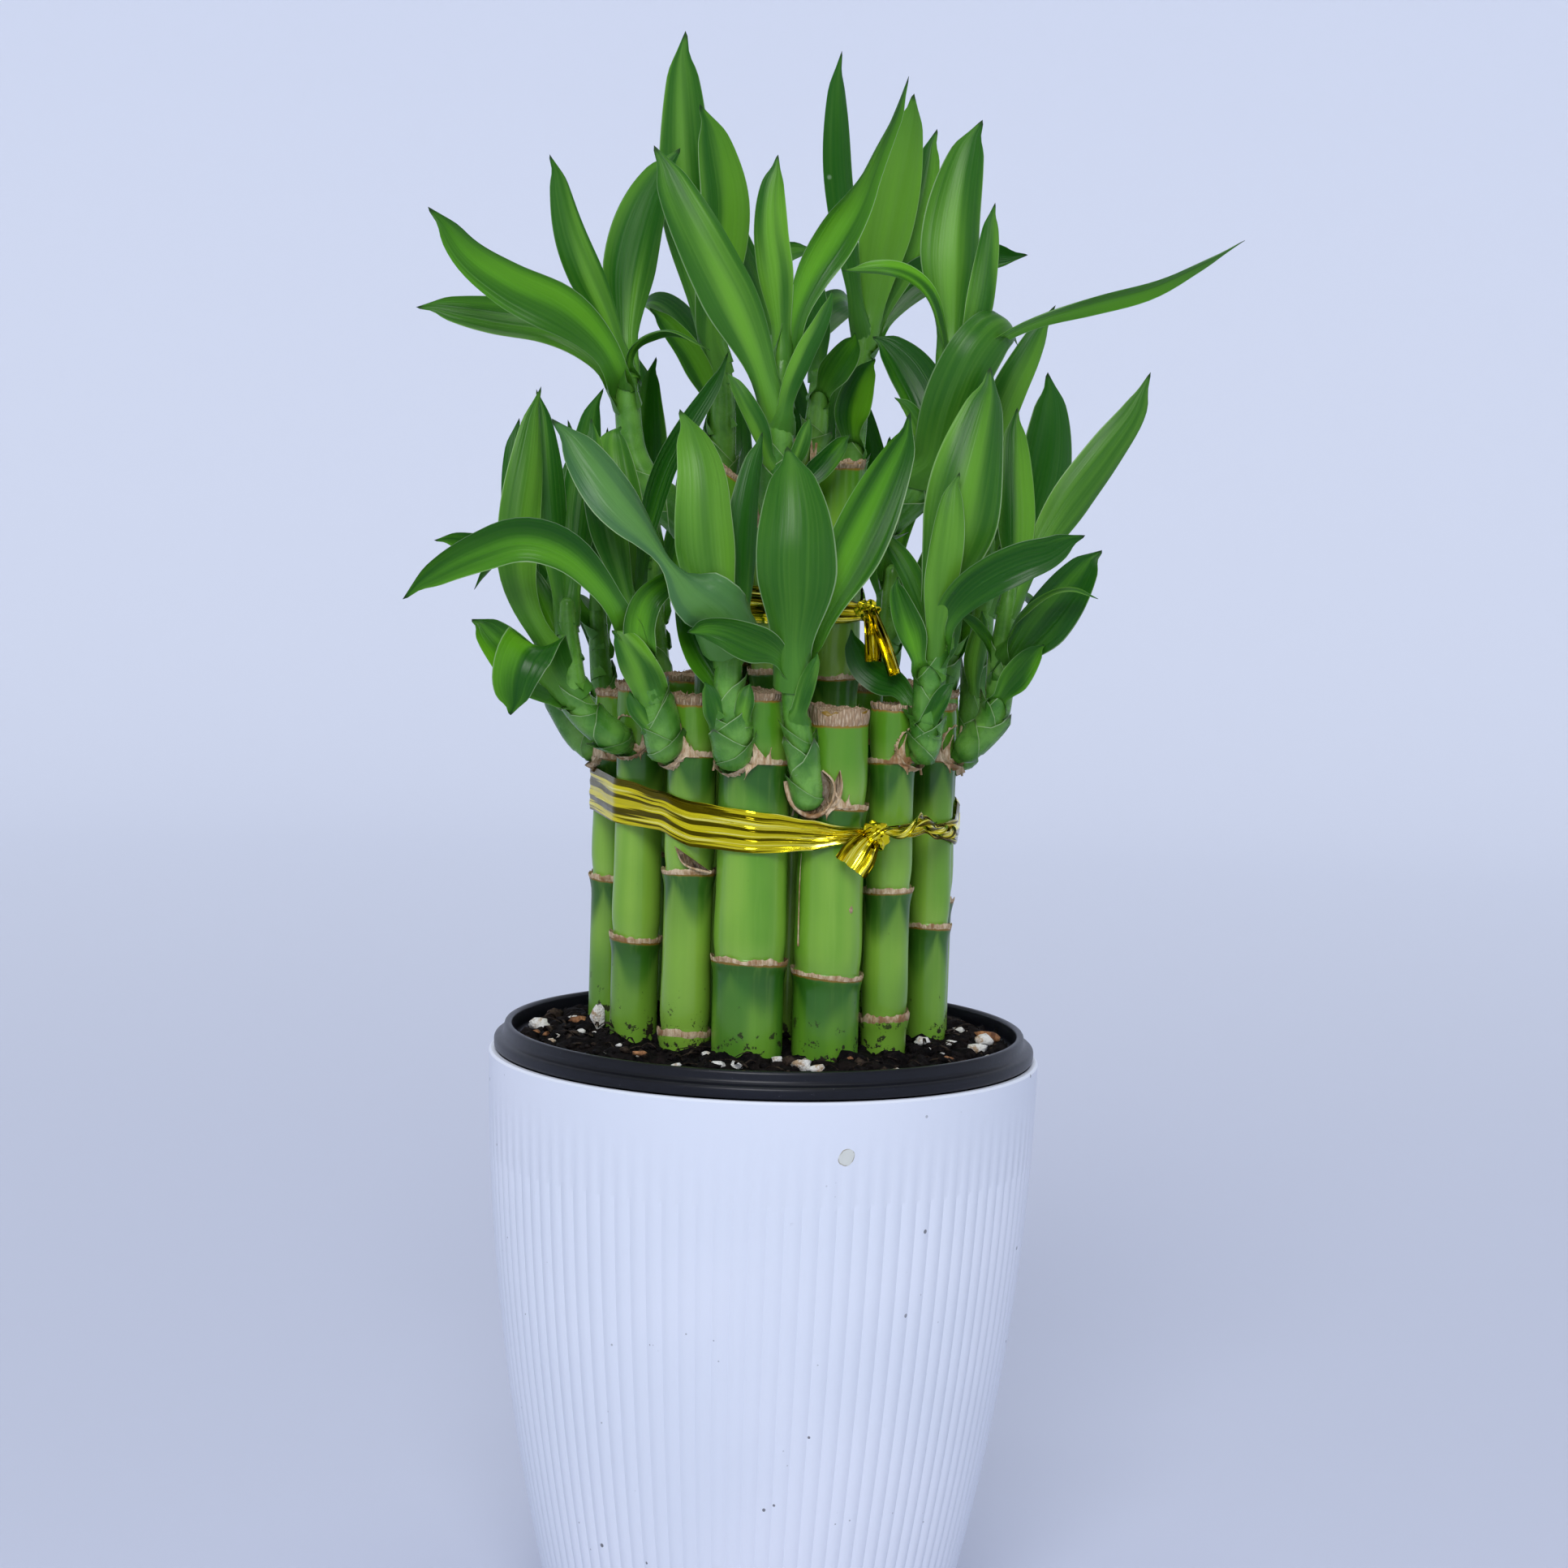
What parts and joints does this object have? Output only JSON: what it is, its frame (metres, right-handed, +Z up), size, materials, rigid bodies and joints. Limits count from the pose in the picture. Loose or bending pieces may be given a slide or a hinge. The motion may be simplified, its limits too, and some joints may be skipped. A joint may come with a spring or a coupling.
{
  "type": "lucky bamboo in a pot",
  "caption": "House plant: tiers of upright lucky bamboo canes with leafy shoots, tied with gold ribbon, standing in potting mix in a black nursery pot held in a fluted white cover pot.",
  "frame": {"origin": "centre of the cover pot's foot, on the surface that the pot stands on", "axes": "+Z up; -Y towards the side that the picture shows; +X to the right as seen from there"},
  "size_m": [0.224, 0.1762, 0.4463],
  "materials": {
    "cover_pot": "satin",
    "nursery_pot": "satin",
    "potting_mix": "matte",
    "cane": "satin",
    "leaf": "satin",
    "gold_foil": "polished"
  },
  "bodies": {
    "root": {"cover_pot": "cover_pot", "nursery_pot": "nursery_pot", "soil": "potting_mix", "outer_cane_1": "cane", "outer_cane_2": "cane", "outer_cane_3": "cane", "outer_cane_4": "cane", "outer_cane_5": "cane", "outer_cane_6": "cane", "outer_cane_7": "cane", "outer_cane_8": "cane", "outer_cane_9": "cane", "outer_cane_10": "cane", "outer_cane_11": "cane", "outer_cane_12": "cane", "outer_cane_13": "cane", "outer_cane_14": "cane", "inner_cane_1": "cane", "inner_cane_2": "cane", "inner_cane_3": "cane", "inner_cane_4": "cane", "inner_cane_5": "cane", "inner_cane_6": "cane", "inner_cane_7": "cane", "outer_shoot_1": "leaf", "outer_shoot_2": "leaf", "outer_shoot_3": "leaf", "outer_shoot_4": "leaf", "outer_shoot_5": "leaf", "outer_shoot_6": "leaf", "outer_shoot_7": "leaf", "outer_shoot_8": "leaf", "outer_shoot_9": "leaf", "outer_shoot_10": "leaf", "outer_shoot_11": "leaf", "outer_shoot_12": "leaf", "outer_shoot_13": "leaf", "outer_shoot_14": "leaf", "inner_shoot_1": "leaf", "inner_shoot_2": "leaf", "inner_shoot_3": "leaf", "inner_shoot_4": "leaf", "inner_shoot_5": "leaf", "inner_shoot_6": "leaf", "inner_shoot_7": "leaf", "outer_ribbon": "gold_foil", "inner_ribbon": "gold_foil"}
  },
  "joints": []
}
